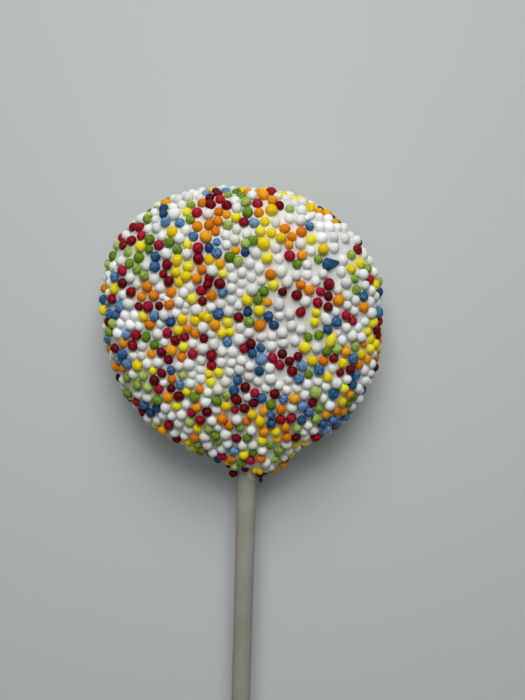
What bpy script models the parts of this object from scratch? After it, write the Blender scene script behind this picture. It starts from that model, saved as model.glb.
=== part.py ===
"""A cake pop: a flattened round cake dipped in white icing, covered with small sugar beads,
on a paper stick. It lies on its back with the stick along -Y, resting on a small flat foot
of icing under the cake and on the lower edge of the stick's far end.
Units are metres, and the origin is the centre of the flat foot."""

import math

import bpy
import numpy as np
from mathutils import Matrix, Vector, kdtree

MM = 0.001

# Iced cake, measured from its centre in its own frame: X across, +Y to its top edge, Z through it
HALF_WIDTH = 23.75 * MM
TOP_REACH = 21.8 * MM
NECK_REACH = 24.85 * MM
HALF_DEPTH = 8.1 * MM
TOP_POWER = 2.25
NECK_POWER = 2.1
RIM_POWER = 2.5
SKEW = 0.035

# Icing gathered round the stick, a blunt knob a little to one side of it
KNOB_CENTRE = np.array((2.5, -19.3, 0)) * MM
KNOB_SIZE = np.array((7.1, 8.2, 4.8)) * MM
KNOB_POWER = 2.6
BLEND = 0.7 * MM

# Soft unevenness of the dipped surface
LUMP_WAVES = 9
LUMP_HEIGHT = 0.075 * MM
SHORTEST_LUMP = 9 * MM
LONGEST_LUMP = 24 * MM
LUMP_SEED = 31

# How finely the surface is searched for
HALVINGS = 22
SLOPE_STEP = 0.02 * MM
SEARCH_RAYS = 6000
SEARCH_SPREAD = (6, 6, 1)
SEARCH_DROP = 4
LEANING_STEPS = 5

# Paper stick, pushed in a little to one side of the cake's centre
STICK_RADIUS = 1.75 * MM
STICK_LENGTH = 150 * MM
STICK_OFFSET = 1.6 * MM
STICK_INNER_END = -2.5 * MM
STICK_SIDES = 32
STICK_EDGE = 0.2 * MM
STICK_EDGE_STEPS = 2
STICK_EDGE_ANGLE = math.radians(60)
FIT_GAP = 0.3 * MM

# Sugar beads
BEADS = 1380
BEAD_RADIUS = 0.875 * MM
BEAD_SPREAD = 0.06 * MM
SMALLEST_BEAD = 0.66 * MM
LARGEST_BEAD = 1.05 * MM
STRETCH_SPREAD = 0.07
MOST_STRETCH = 1.26
LOWEST_SEAT = -0.25
HIGHEST_SEAT = 0.38
SOWING_SEED = 5
SOWING_TRIES = 9000
SETTLING_STEPS = 90
STEPS_PER_SEARCH = 10
STEEP_SIDE = 0.8
BEAD_CROWDING = 1.03
PAIR_REACH = 2.6 * MM

# Odd beads on the shown face: place across and along the cake, length and width in millimetres,
# and the turn of the long side from the X axis in degrees
ODD_BEADS = {
    "blue drop": (14.6, 10.7, 3.0, 2.1, 12),
    "white pellet": (11.0, 18.2, 2.6, 1.15, 42),
    "white oval": (14.2, 1.7, 2.6, 1.85, -58),
    "yellow pellet": (8.6, 21.4, 2.6, 1.25, 6),
    "yellow oval": (15.3, -2.1, 2.8, 1.75, 70),
    "red twin": (-5.5, 7.4, 2.7, 1.65, 80),
    "white twin": (-12.9, 4.3, 2.2, 1.2, -28),
    "yellow twin": (-6.0, 1.5, 2.5, 1.55, -25),
    "small white twin": (-9.2, 2.6, 2.2, 1.35, 85),
    "big yellow": (3.5, 13.9, 2.25, 2.0, -40),
    "pale yellow": (4.5, 19.1, 2.15, 2.1, 0),
    "yellow egg": (-10.8, 10.6, 2.2, 1.8, 75),
}

# Bare or thinly covered places on the shown face: across and along the cake, radius,
# and the share of the beads that is missing there
THIN_PLACES = (
    (17.3 * MM, 15.2 * MM, 5.0 * MM, 0.6),
    (2.0 * MM, -24.0 * MM, 3.0 * MM, 0.4),
    (12.0 * MM, 10.0 * MM, 4.0 * MM, 0.3),
)

# Beads that are shown in the solid: the largest, spread evenly
SHOWN_SPACING = 2.98 * MM
SHOWN_SIDES = 6
SHOWN_RINGS = 3
SHOWN_SWELL = 1.07
LEAST_SHOWING = 0.45 * MM

# Flat foot that the iced cake rests on, and the pressed beads round it that touch the ground too
FOOT_SINK = 0.16 * MM
FOOT_RADIUS = 5.2 * MM
PRESSED_GAP = 0.02 * MM

CAKE_SEGMENTS = 36
CAKE_RINGS = 20
CUTTER_SIZE = 80 * MM
SHARP_ANGLE = math.radians(40)

ICING_COLOUR = (0.72, 0.72, 0.69)
ICING_ROUGHNESS = 0.5
PAPER_COLOUR = (0.66, 0.65, 0.6)
PAPER_ROUGHNESS = 0.85


def lump_waves():
    """Wave vectors and phases of the soft unevenness."""
    rng = np.random.default_rng(LUMP_SEED)
    ways = rng.normal(size=(LUMP_WAVES, 3))
    ways /= np.linalg.norm(ways, axis=1, keepdims=True)
    lengths = rng.uniform(SHORTEST_LUMP, LONGEST_LUMP, LUMP_WAVES)
    return ways * (2 * math.pi / lengths)[:, None], rng.uniform(0, 2 * math.pi, LUMP_WAVES)


WAVES, PHASES = lump_waves()


def head_field(points):
    """Below zero inside the iced cake, zero on its surface and above zero outside."""
    across, along, through = points.T
    reach = np.where(along > 0, TOP_REACH, NECK_REACH)
    power = np.where(along > 0, TOP_POWER, NECK_POWER)
    outline = (abs(across + SKEW * along) / HALF_WIDTH) ** power + (abs(along) / reach) ** power
    rim = outline ** (RIM_POWER / power) + (abs(through) / HALF_DEPTH) ** RIM_POWER
    disc = np.linalg.norm(points, axis=1) * (1 - rim ** (-1 / RIM_POWER))
    knob = abs((points - KNOB_CENTRE) / KNOB_SIZE) ** KNOB_POWER
    knob = np.linalg.norm(points - KNOB_CENTRE, axis=1) * (1 - knob.sum(axis=1) ** (-1 / KNOB_POWER))
    lumps = LUMP_HEIGHT * np.sin(points @ WAVES.T + PHASES).sum(axis=1)
    return -BLEND * np.log(np.exp(-disc / BLEND) + np.exp(-knob / BLEND)) - lumps


def on_surface(points):
    """Each point moved along its ray from the cake's centre onto the icing's surface."""
    rays = points / np.linalg.norm(points, axis=1, keepdims=True)
    inner = np.full(len(rays), HALF_DEPTH / 2)
    outer = np.full(len(rays), NECK_REACH + HALF_DEPTH)
    for _ in range(HALVINGS):
        middle = (inner + outer) / 2
        inside = head_field(rays * middle[:, None]) < 0
        inner = np.where(inside, middle, inner)
        outer = np.where(inside, outer, middle)
    return rays * outer[:, None]


def surface_normals(points):
    """Outward unit normals, from the slope of the field."""
    steps = np.eye(3) * SLOPE_STEP
    slopes = [head_field(points + step) - head_field(points - step) for step in steps]
    normals = np.stack(slopes, axis=1)
    return normals / np.linalg.norm(normals, axis=1, keepdims=True)


def lowest_point(lean):
    """The lowest point of the leaning cake, in world directions from its centre."""
    ways = np.random.default_rng(0).normal(size=(SEARCH_RAYS, 3)) * SEARCH_SPREAD
    ways[:, 2] = -abs(ways[:, 2]) - SEARCH_DROP
    points = on_surface(ways) @ np.array(Matrix.Rotation(lean, 3, "X")).T
    return points[points[:, 2].argmin()]


def resting_pose():
    """Place and lean of the cake, so that the foot and the stick's far end touch the ground."""
    lean = 0.0
    for _ in range(LEANING_STEPS):
        lowest = lowest_point(lean)
        height = -lowest[2] - FOOT_SINK
        reach = STICK_LENGTH - STICK_INNER_END
        lean = math.asin((height - STICK_RADIUS * math.cos(lean)) / reach)
    return Matrix.Translation((-lowest[0], -lowest[1], height)) @ Matrix.Rotation(lean, 4, "X")


POSE = resting_pose()


def to_world(points):
    return points @ np.array(POSE.to_3x3()).T + np.array(POSE.translation)


def to_cake(points):
    return (points - np.array(POSE.translation)) @ np.array(POSE.to_3x3())


def touching_pairs(points):
    """Index pairs of the beads that are close enough to push each other."""
    tree = kdtree.KDTree(len(points))
    for index, point in enumerate(points):
        tree.insert(point, index)
    tree.balance()
    pairs = []
    for index, point in enumerate(points):
        near = sorted(found[1] for found in tree.find_range(point, PAIR_REACH))
        pairs += [(index, other) for other in near if other > index]
    return np.array(pairs).T


def scattered_points(rng):
    """Points drawn evenly over the icing, fewer in the thin places."""
    size = np.array((HALF_WIDTH, (TOP_REACH + NECK_REACH) / 2, HALF_DEPTH))
    ways = rng.normal(size=(SOWING_TRIES, 3)) * size
    points = on_surface(ways)
    lengths = np.linalg.norm(points, axis=1)
    facing = (points * surface_normals(points)).sum(axis=1)
    weights = lengths**3 / facing * np.linalg.norm(points / lengths[:, None] / size, axis=1) ** 3
    for across, along, radius, missing in THIN_PLACES:
        far = np.hypot(points[:, 0] - across, points[:, 1] - along) / radius
        weights *= 1 - missing * np.exp(-(far**2)) * (points[:, 2] > 0)
    chosen = rng.choice(SOWING_TRIES, BEADS, replace=False, p=weights / weights.sum())
    return points[chosen]


def shown_face(across, along):
    """The point of the icing straight above a place on the cake's middle plane."""
    low = 0.0
    high = HALF_DEPTH + BEAD_RADIUS
    for _ in range(HALVINGS):
        middle = (low + high) / 2
        inside = head_field(np.array([[across, along, middle]]))[0] < 0
        low, high = (middle, high) if inside else (low, middle)
    return (across, along, high)


def settled(points, radii, held):
    """The beads pushed apart along the icing until hardly any two share the same place."""
    for step in range(SETTLING_STEPS):
        if step % STEPS_PER_SEARCH == 0:
            first, second = touching_pairs(points)
        apart = points[first] - points[second]
        distance = np.linalg.norm(apart, axis=1) + 1e-9
        overlap = np.maximum((radii[first] + radii[second]) * BEAD_CROWDING - distance, 0)
        push = apart * (overlap / distance / 2)[:, None]
        moved = points.copy()
        np.add.at(moved, first, push)
        np.add.at(moved, second, -push)
        moved[:held] = points[:held]
        points = on_surface(moved)
    return points


def bead_frames(normals, turns):
    """For each bead its long way, its short way and its outward way, as the columns of a matrix."""
    steep = abs(normals[:, :1]) > STEEP_SIDE
    base = np.where(steep, (0.0, 1.0, 0.0), (1.0, 0.0, 0.0))
    base -= normals * (base * normals).sum(axis=1, keepdims=True)
    base /= np.linalg.norm(base, axis=1, keepdims=True)
    side = np.cross(normals, base)
    long_way = base * np.cos(turns)[:, None] + side * np.sin(turns)[:, None]
    return np.stack((long_way, np.cross(normals, long_way), normals), axis=2)


def sow_beads():
    """Centres, radii, stretches and frames of all the beads, in the cake's frame."""
    rng = np.random.default_rng(SOWING_SEED)
    odd = np.array(list(ODD_BEADS.values()))
    odd_points = [shown_face(across, along) for across, along in odd[:, :2] * MM]
    points = np.concatenate((odd_points, scattered_points(rng)))
    radii = np.clip(rng.normal(BEAD_RADIUS, BEAD_SPREAD, BEADS), SMALLEST_BEAD, LARGEST_BEAD)
    radii = np.concatenate((odd[:, 3] * MM / 2, radii))
    stretches = np.clip(1 + abs(rng.normal(0, STRETCH_SPREAD, BEADS)), 1, MOST_STRETCH)
    stretches = np.concatenate((odd[:, 2] / odd[:, 3], stretches))
    turns = np.concatenate((np.radians(odd[:, 4]), rng.uniform(0, math.pi, BEADS)))
    seats = rng.uniform(LOWEST_SEAT, HIGHEST_SEAT, len(radii))
    points = settled(points, radii * np.sqrt(stretches), len(odd))
    normals = surface_normals(points)
    centres = to_world(points + normals * (radii * seats)[:, None])
    centres[:, 2] = np.maximum(centres[:, 2], radii + PRESSED_GAP)
    on_foot = (np.hypot(centres[:, 0], centres[:, 1]) < FOOT_RADIUS) & (centres[:, 2] < HALF_DEPTH)
    centres = to_cake(centres)
    from_stick = np.hypot(centres[:, 0] - STICK_OFFSET, centres[:, 2])
    in_stick = (from_stick < STICK_RADIUS + radii) & (centres[:, 1] < KNOB_CENTRE[1])
    kept = ~(on_foot | in_stick)
    return centres[kept], radii[kept], stretches[kept], bead_frames(normals, turns)[kept]


def shown_beads(centres, radii, stretches):
    """Indexes of the largest beads, kept a set distance apart and clear of the stick."""
    showing = head_field(centres) + radii
    from_stick = np.hypot(centres[:, 0] - STICK_OFFSET, centres[:, 2])
    beside_stick = centres[:, 1] < KNOB_CENTRE[1]
    crowds_stick = from_stick < STICK_RADIUS + radii * stretches * SHOWN_SWELL + FIT_GAP
    free = (showing > LEAST_SHOWING) & ~(beside_stick & crowds_stick)
    shown = []
    for index in np.argsort(-radii * stretches, kind="stable"):
        if not free[index]:
            continue
        shown.append(index)
        free &= np.linalg.norm(centres - centres[index], axis=1) > SHOWN_SPACING
    return shown


def finish(name, colour, roughness):
    material = bpy.data.materials.new(name)
    material.use_nodes = True
    shader = material.node_tree.nodes["Principled BSDF"]
    shader.inputs["Base Color"].default_value = (*colour, 1)
    shader.inputs["Roughness"].default_value = roughness
    shader.inputs["Metallic"].default_value = 0
    return material


def fuse(piece, operation, other):
    """One Boolean on the piece, with an object or a whole collection, applied at once."""
    change = piece.modifiers.new(operation.lower(), "BOOLEAN")
    change.operation = operation
    change.solver = "EXACT"
    if isinstance(other, bpy.types.Collection):
        change.operand_type = "COLLECTION"
        change.collection = other
    else:
        change.object = other
    graph = bpy.context.evaluated_depsgraph_get()
    shaped = bpy.data.meshes.new_from_object(piece.evaluated_get(graph))
    piece.modifiers.remove(change)
    piece.data = shaped


def make_iced_cake():
    """The bare iced cake: a ball drawn out to the dipped form, with its poles on the stick's line."""
    bpy.ops.mesh.primitive_uv_sphere_add(segments=CAKE_SEGMENTS, ring_count=CAKE_RINGS, radius=1)
    cake = bpy.context.object
    cake.name = "iced_cake"
    stretch = Matrix.Diagonal((HALF_WIDTH, NECK_REACH, HALF_DEPTH, 1))
    cake.data.transform(stretch @ Matrix.Rotation(math.pi / 2, 4, "X"))
    points = on_surface(np.array([vertex.co for vertex in cake.data.vertices], float))
    for vertex, point in zip(cake.data.vertices, points):
        vertex.co = point
    cake.matrix_world = POSE
    bpy.context.view_layer.update()
    return cake


def make_bead(name, centre, radius, stretch, frame):
    """One bead of few sides, with a pole on its outward way."""
    bpy.ops.mesh.primitive_uv_sphere_add(
        segments=SHOWN_SIDES, ring_count=SHOWN_RINGS, radius=radius * SHOWN_SWELL
    )
    bead = bpy.context.object
    bead.name = name
    bead.data.transform(Matrix.Diagonal((stretch, 1, 1, 1)))
    bead.matrix_world = POSE @ Matrix.Translation(centre) @ Matrix(frame).to_4x4()
    return bead


def fuse_beads(cake):
    """The shown beads joined to the icing by one union."""
    centres, radii, stretches, frames = sow_beads()
    scatter = bpy.data.collections.new("beads")
    bpy.context.scene.collection.children.link(scatter)
    for index in shown_beads(centres, radii, stretches):
        bead = make_bead(f"bead_{index}", centres[index], radii[index], stretches[index], frames[index])
        for home in tuple(bead.users_collection):
            home.objects.unlink(bead)
        scatter.objects.link(bead)
    bpy.context.view_layer.update()
    fuse(cake, "UNION", scatter)
    for bead in tuple(scatter.objects):
        bpy.data.objects.remove(bead)
    bpy.data.collections.remove(scatter)


def stick_bar(name, radius, start, end):
    """A round bar along the stick's line, between two places along the cake."""
    bpy.ops.mesh.primitive_cylinder_add(vertices=STICK_SIDES, radius=radius, depth=start - end)
    bar = bpy.context.object
    bar.name = name
    middle = Matrix.Translation((STICK_OFFSET, (start + end) / 2, 0))
    bar.matrix_world = POSE @ middle @ Matrix.Rotation(math.pi / 2, 4, "X")
    bpy.context.view_layer.update()
    return bar


def bore_socket(cake):
    """The blind hole that the stick fills, with a fine gap round it."""
    mouth = -NECK_REACH - HALF_DEPTH
    bore = stick_bar("bore", STICK_RADIUS + FIT_GAP, STICK_INNER_END + FIT_GAP, mouth)
    fuse(cake, "DIFFERENCE", bore)
    bpy.data.objects.remove(bore)


def cut_foot(cake):
    """The flat foot at ground level."""
    bpy.ops.mesh.primitive_cube_add(size=CUTTER_SIZE, location=(0, 0, -CUTTER_SIZE / 2))
    ground = bpy.context.object
    fuse(cake, "DIFFERENCE", ground)
    bpy.data.objects.remove(ground)


def make_stick():
    stick = stick_bar("stick", STICK_RADIUS, STICK_INNER_END, STICK_INNER_END - STICK_LENGTH)
    edge = stick.modifiers.new("worn edge", "BEVEL")
    edge.width = STICK_EDGE
    edge.segments = STICK_EDGE_STEPS
    edge.limit_method = "ANGLE"
    edge.angle_limit = STICK_EDGE_ANGLE
    return stick


def dress(piece, material):
    piece.data.materials.clear()
    piece.data.materials.append(material)
    piece.data.shade_smooth()
    piece.data.set_sharp_from_angle(angle=SHARP_ANGLE)


def main():
    for leftover in tuple(bpy.data.objects):
        bpy.data.objects.remove(leftover)
    cake = make_iced_cake()
    fuse_beads(cake)
    bore_socket(cake)
    cut_foot(cake)
    dress(cake, finish("white icing with sugar beads", ICING_COLOUR, ICING_ROUGHNESS))
    dress(make_stick(), finish("white paper", PAPER_COLOUR, PAPER_ROUGHNESS))


main()
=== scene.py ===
"""The looks of a cake pop: a flattened round cake dipped in white icing, covered all over with small
sugar beads, on a rolled paper stick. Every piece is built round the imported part, which is the frame."""

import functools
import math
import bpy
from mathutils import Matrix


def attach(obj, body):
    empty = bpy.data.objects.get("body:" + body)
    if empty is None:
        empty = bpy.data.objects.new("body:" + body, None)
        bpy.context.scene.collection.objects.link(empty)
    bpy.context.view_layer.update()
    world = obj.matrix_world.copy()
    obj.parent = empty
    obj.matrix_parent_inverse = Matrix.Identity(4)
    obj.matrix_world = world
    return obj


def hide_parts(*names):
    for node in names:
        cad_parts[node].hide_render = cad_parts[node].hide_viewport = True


bl_info = {
    "name": "Cake Pop with Sugar Beads",
    "version": (1, 0, 0),
    "blender": (4, 5, 0),
    "location": "3D View > Sidebar > Cake Pop",
    "description": "Models a dipped cake pop, its sugar beads, its paper stick and a plain stage",
    "category": "Add Mesh",
}

import bpy
import numpy as np
from mathutils import Matrix, Vector, kdtree

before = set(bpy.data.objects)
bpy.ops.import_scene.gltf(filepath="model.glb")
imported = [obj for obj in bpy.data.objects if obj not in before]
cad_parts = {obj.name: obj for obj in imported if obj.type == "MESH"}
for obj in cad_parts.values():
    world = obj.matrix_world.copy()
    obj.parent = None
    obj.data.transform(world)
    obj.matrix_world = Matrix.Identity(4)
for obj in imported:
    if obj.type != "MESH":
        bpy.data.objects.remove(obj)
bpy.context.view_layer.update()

MM = 0.001

# Iced cake, measured from its centre in its own frame: X across, +Y to its top edge, Z through it
HALF_WIDTH = 23.75 * MM
TOP_REACH = 21.8 * MM
NECK_REACH = 24.85 * MM
HALF_DEPTH = 8.1 * MM
TOP_POWER = 2.25
NECK_POWER = 2.1
RIM_POWER = 2.5
SKEW = 0.035

# Icing gathered round the stick, a blunt knob a little to one side of it
KNOB_CENTRE = np.array((2.5, -19.3, 0)) * MM
KNOB_SIZE = np.array((7.1, 8.2, 4.8)) * MM
KNOB_POWER = 2.6
BLEND = 0.7 * MM

# Soft unevenness of the dipped surface
LUMP_WAVES = 9
LUMP_HEIGHT = 0.075 * MM
SHORTEST_LUMP = 9 * MM
LONGEST_LUMP = 24 * MM
LUMP_SEED = 31

# How finely the surface is searched for
HALVINGS = 22
SLOPE_STEP = 0.02 * MM
SEARCH_RAYS = 6000
SEARCH_SPREAD = (6, 6, 1)
SEARCH_DROP = 4
SEARCH_SEED = 0
LEANING_STEPS = 5

# Paper stick, pushed in a little to one side of the cake's centre
STICK_RADIUS = 1.75 * MM
STICK_LENGTH = 150 * MM
STICK_OFFSET = 1.6 * MM
STICK_INNER_END = -2.5 * MM
STICK_SIDES = 72
STICK_EDGE = 0.2 * MM
STICK_EDGE_STEPS = 3
STICK_EDGE_ANGLE = math.radians(60)

# Sowing of the sugar beads
BEADS = 1380
BEAD_SPREAD = 0.06 * MM
SMALLEST_BEAD = 0.66 * MM
LARGEST_BEAD = 1.05 * MM
STRETCH_SPREAD = 0.07
MOST_STRETCH = 1.26
LOWEST_SEAT = -0.25
HIGHEST_SEAT = 0.38
SOWING_SEED = 5
SOWING_TRIES = 9000
SETTLING_STEPS = 90
STEPS_PER_SEARCH = 10
STEEP_SIDE = 0.8
BEAD_CROWDING = 1.03
PAIR_REACH = 2.6 * MM

# Odd beads on the shown face: place across and along the cake, length and width in millimetres,
# the turn of the long side from the X axis in degrees, the shape and the colour
ODD_BEADS = {
    "blue drop": (14.6, 10.7, 3.0, 2.1, 12, "drop", "blue"),
    "white pellet": (11.0, 18.2, 2.6, 1.15, 42, "pellet", "white"),
    "white oval": (14.2, 1.7, 2.6, 1.85, -58, "ball", "white"),
    "yellow pellet": (8.6, 21.4, 2.6, 1.25, 6, "pellet", "yellow"),
    "yellow oval": (15.3, -2.1, 2.8, 1.75, 70, "ball", "yellow"),
    "red twin": (-5.5, 7.4, 2.7, 1.65, 80, "twin", "red"),
    "white twin": (-12.9, 4.3, 2.2, 1.2, -28, "twin", "white"),
    "yellow twin": (-6.0, 1.5, 2.5, 1.55, -25, "twin", "yellow"),
    "small white twin": (-9.2, 2.6, 2.2, 1.35, 85, "twin", "white"),
    "big yellow": (3.5, 13.9, 2.25, 2.0, -40, "ball", "yellow"),
    "pale yellow": (4.5, 19.1, 2.15, 2.1, 0, "ball", "yellow"),
    "yellow egg": (-10.8, 10.6, 2.2, 1.8, 75, "ball", "yellow"),
}

# Bare or thinly covered places on the shown face: across and along the cake, radius,
# and the share of the beads that is missing there
THIN_PLACES = (
    (17.3 * MM, 15.2 * MM, 5.0 * MM, 0.6),
    (2.0 * MM, -24.0 * MM, 3.0 * MM, 0.4),
    (12.0 * MM, 10.0 * MM, 4.0 * MM, 0.3),
)

# Flat foot that the iced cake rests on, and the pressed beads round it that touch the ground too
FOOT_SINK = 0.16 * MM
FOOT_RADIUS = 5.2 * MM
PRESSED_GAP = 0.02 * MM

# Share of each colour among the beads
COLOUR_SHARES = {
    "white": 0.42,
    "red": 0.11,
    "orange": 0.145,
    "yellow": 0.13,
    "green": 0.12,
    "blue": 0.075,
}
COLOUR_SEED = 5
ALIKE_SHARE = 0.12
ALIKE_REACH = 2.3 * MM

# Places on the shown face where one colour gathers: across and along the cake, radius in
# millimetres, the colour and the share of the beads there that have it
COLOUR_PLACES = (
    (-4.4, 20.2, 1.8, "red", 0.9),
    (-7.5, 16.5, 1.3, "orange", 1.0),
    (-5.4, 15.7, 1.3, "orange", 1.0),
    (-3.8, 17.6, 1.4, "orange", 1.0),
    (-5.6, 18.2, 1.0, "white", 1.0),
    (-13.2, 17.7, 1.3, "blue", 1.0),
    (-17.9, 15.2, 1.5, "red", 1.0),
    (-13.9, 13.0, 1.3, "red", 1.0),
    (-18.8, 10.0, 1.8, "green", 0.9),
    (-10.1, 9.5, 1.9, "yellow", 1.0),
    (-13.2, 8.9, 1.2, "red", 1.0),
    (-6.8, 5.2, 1.3, "red", 1.0),
    (-9.0, -2.2, 1.3, "red", 1.0),
    (-5.0, 13.0, 1.2, "blue", 1.0),
    (0.4, 12.0, 1.6, "blue", 1.0),
    (-1.6, 11.0, 1.0, "green", 1.0),
    (7.4, 5.4, 1.8, "red", 1.0),
    (13.2, 6.0, 2.8, "red", 0.7),
    (12.6, -1.6, 1.7, "green", 0.9),
    (15.1, -3.3, 1.5, "green", 0.9),
    (17.5, -4.1, 1.4, "green", 0.9),
    (18.0, 1.3, 1.2, "red", 1.0),
    (9.1, -5.2, 1.4, "red", 1.0),
    (10.4, -7.4, 1.2, "blue", 1.0),
    (-16.0, -10.2, 1.6, "green", 0.9),
    (-0.2, -13.3, 1.7, "red", 0.9),
    (-5.9, -15.1, 1.3, "red", 0.9),
    (-21.5, 1.6, 1.6, "blue", 0.9),
    (23.2, -3.2, 1.9, "yellow", 0.8),
    (-15.3, 5.3, 1.3, "orange", 1.0),
    (-11.8, 3.3, 1.3, "orange", 1.0),
    (-19.3, 0.3, 1.8, "white", 0.8),
    (1.9, 8.6, 2.4, "white", 0.85),
    (5.2, -9.1, 2.2, "white", 0.8),
    (13.0, -10.2, 1.8, "white", 0.9),
    (17.0, 14.0, 3.0, "white", 0.65),
)

# Shapes of the beads, and how far each one is shifted from its place
BALL_SIDES = 12
BALL_RINGS = 6
ODD_SIDES = 24
ODD_RINGS = 12
BEAD_FLATNESS = 0.96
BEAD_SHIFT = 0.06 * MM
BEAD_UNEVENNESS = 0.022
UNEVEN_WAVES = 3
UNEVEN_FINENESS = 1.6
SHAPING_SEED = 23

# Odd shapes: the share of a pellet that its ends take, how a drop narrows and how flat it is,
# and how deep the waist between two grown-together balls goes
PELLET_ENDS = 0.3
DROP_TAPER = 0.35
DROP_FLATNESS = 0.8
WAIST = 0.5

# Icing: its mesh, how far it lies below the ideal surface, and how it climbs up the beads
ICING_SEGMENTS = 400
ICING_RINGS = 200
ICING_SINK = 0.14 * MM
COLLAR_NEIGHBOURS = 5
DEEPEST_CONTACT = 0.35
MEETING_SHARE = 0.35
COLLAR_POWER = 1.4

# Places where icing has run over white beads: across and along the cake and radius in millimetres,
# and the share of the beads there that are covered
COATED_PLACES = (
    (16.0, 14.4, 4.6, 0.5),
    (-20.5, -0.5, 3.0, 0.5),
    (2.0, 15.0, 4.0, 0.2),
)
COAT = 0.06 * MM
COATED_COLLAR = 0.3 * MM

# Dye that the icing has drawn from the beads
STAIN_REACH = 0.5 * MM
STRONGEST_STAIN = 0.5
STAIN_STRENGTH = {
    "white": 0.0,
    "red": 0.1,
    "orange": 0.08,
    "yellow": 0.09,
    "green": 0.08,
    "blue": 0.05,
}

# Icing that has crept down the stick: how far and how thick, how its lower edge slants and waves, how
# much the paper's colour shows, and the shares of the way from pole to pole where it starts and ends
SLEEVE_TOP = -24.0 * MM
SLEEVE_TIP = -29.4 * MM
SLEEVE_THIN = 0.05 * MM
SLEEVE_THICK = 0.16 * MM
SLEEVE_BITE = 0.05 * MM
SLEEVE_SLANT = 0.1
SLEEVE_WAVE = 0.07
PAPER_SHOWING = 0.55
SLEEVE_START = 0.1
SLEEVE_END = 0.88
SLEEVE_RINGS = 24
SLEEVE_SIDES = 64

# Beads that stick out where the stick comes out of the icing: place across, along and above the
# cake's middle plane, length and width in millimetres, turn, shape, colour and tone. Their tones lie
# low, toward the deep shades, as painted shade under the head
NECK_BEADS = (
    (-0.85, -28.3, 0.5, 1.6, 1.5, 0, "ball", "red", 0.3),
    (4.0, -28.2, 0.9, 1.45, 1.4, 0, "ball", "red", 0.5),
    (4.15, -29.4, 0.6, 1.05, 0.8, 70, "ball", "blue", 0.0),
    (5.0, -28.1, -0.4, 1.4, 1.2, 60, "ball", "green", 0.1),
    (3.5, -26.9, 2.6, 2.2, 1.3, -15, "twin", "yellow", 0.2),
    (1.3, -26.7, 2.4, 1.5, 1.4, 0, "ball", "red", 0.1),
    (6.3, -27.1, 1.3, 1.65, 1.6, 0, "ball", "orange", 0.3),
    (8.0, -26.1, 1.0, 1.8, 1.5, 20, "ball", "orange", 0.5),
    (-3.6, -25.6, 1.0, 1.5, 1.5, 0, "ball", "blue", 0.4),
    (-1.6, -26.6, 0.6, 1.5, 1.3, 0, "ball", "blue", 0.0),
)

# How close a sown bead may come to one of the beads at the neck, as a share of that bead's size
NECK_CROWDING = 0.5

# Camera, over the shown face of the cake: its distance, tilt and roll in the cake's frame,
# and the place on the cake that the middle of the picture shows
CAMERA_DISTANCE = 190 * MM
CAMERA_TILT = math.radians(12)
CAMERA_ROLL = math.radians(1.7)
CAMERA_LENS = 55.7
AIM_ACROSS = 3.6 * MM
AIM_ALONG = -5.6 * MM
CAMERA_NEAREST = 10 * MM

# Finish of the sugar: how fine its patches and specks are, the least and the most roughness, gloss,
# strength and depth of the grain, where a colour's three tones stand, how much paler the specks are,
# and how strong patches and specks are on the white beads and on the others. The specks are paler than
# the palest tone, partly the sugar's own specks and partly painted glints
SUGAR_SCALES = {"Patch Scale": 2100.0, "Speck Scale": 5200.0}
SUGAR_ROUGHNESS = (0.44, 0.6)
SUGAR_GLOSS = 0.14
SUGAR_GRAIN = (0.6, 0.05 * MM)
TONE_STOPS = (0.08, 0.5, 0.95)
SPECK_AND_GLINT_GAIN = 1.15
SPECK_AND_GLINT_LIFT = 0.02
WHITE_CLOUDING_AND_GLINTS = (0.5, 0.2)
DYED_CLOUDING_AND_GLINTS = (0.65, 0.28)

# Finish of the icing: the same, and how far light goes into it
ICING_SCALES = {"Patch Scale": 420.0, "Speck Scale": 3000.0}
ICING_ROUGHNESS = (0.34, 0.48)
ICING_GLOSS = 0.45
ICING_GRAIN = (0.25, 0.04 * MM)
ICING_GLOW = 0.25
ICING_GLOW_DEPTH = 0.6 * MM
ICING_GLOW_TINT = (1.0, 0.9, 0.8)

# Finish of the paper: how fine its fibres are across the stick and against that along it, and its clouds
FIBRE_SCALE = 2600.0
FINENESS_ALONG = 0.12
CLOUD_SCALE = 160.0
PAPER_STOPS = (0.38, 0.6)
PAPER_ROUGHNESS = (0.78, 0.92)
PAPER_GLOSS = 0.3
PAPER_GRAIN = (0.3, 0.03 * MM)
SHARP_ANGLE = math.radians(40)

# Stage: the round floor, the place, aim and width of the soft lights, and the tint of the surroundings
FLOOR_RADIUS = 0.7
FLOOR_SIDES = 128
FLOOR_ROUGHNESS = 0.9
FLOOR_GLOSS = 0.3
KEY_PLACE = (0, 0.6, 0.6)
KEY_AIM = (0, -0.02, 0)
KEY_SIZE = 0.555
NEAR_PLACE = (0, 0.17, 0.17)
NEAR_SIZE = 0.16
NEAR_SPREAD = math.radians(75)
FILL_PLACE = (-0.1, -0.1, 0.6)
FILL_SIZE = 0.5
SKY_COLOUR = (0.94, 1.0, 1.0, 1)

# Smallest length or weight that is divided by
TINY = 1e-9


def paint(red, green, blue):
    """A colour given from 0 to 255 as a screen shows it, turned into Blender's own light values."""
    values = np.array((red, green, blue)) / 255
    light = np.where(values <= 0.04045, values / 12.92, ((values + 0.055) / 1.055) ** 2.4)
    return tuple(float(value) for value in light)


def colour_choice(name, description, default):
    """A colour that a user can change."""
    return bpy.props.FloatVectorProperty(
        name=name, description=description, subtype="COLOR", size=3, min=0, max=1, default=default
    )


def length_choice(name, description, default, least, most):
    """A small length that a user can change."""
    return bpy.props.FloatProperty(
        name=name,
        description=description,
        unit="LENGTH",
        precision=5,
        min=least,
        max=most,
        default=default,
    )


def power_choice(name, description, default):
    """The power of a light, which a user can change."""
    return bpy.props.FloatProperty(
        name=name, description=description, unit="POWER", min=0, default=default
    )


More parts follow.
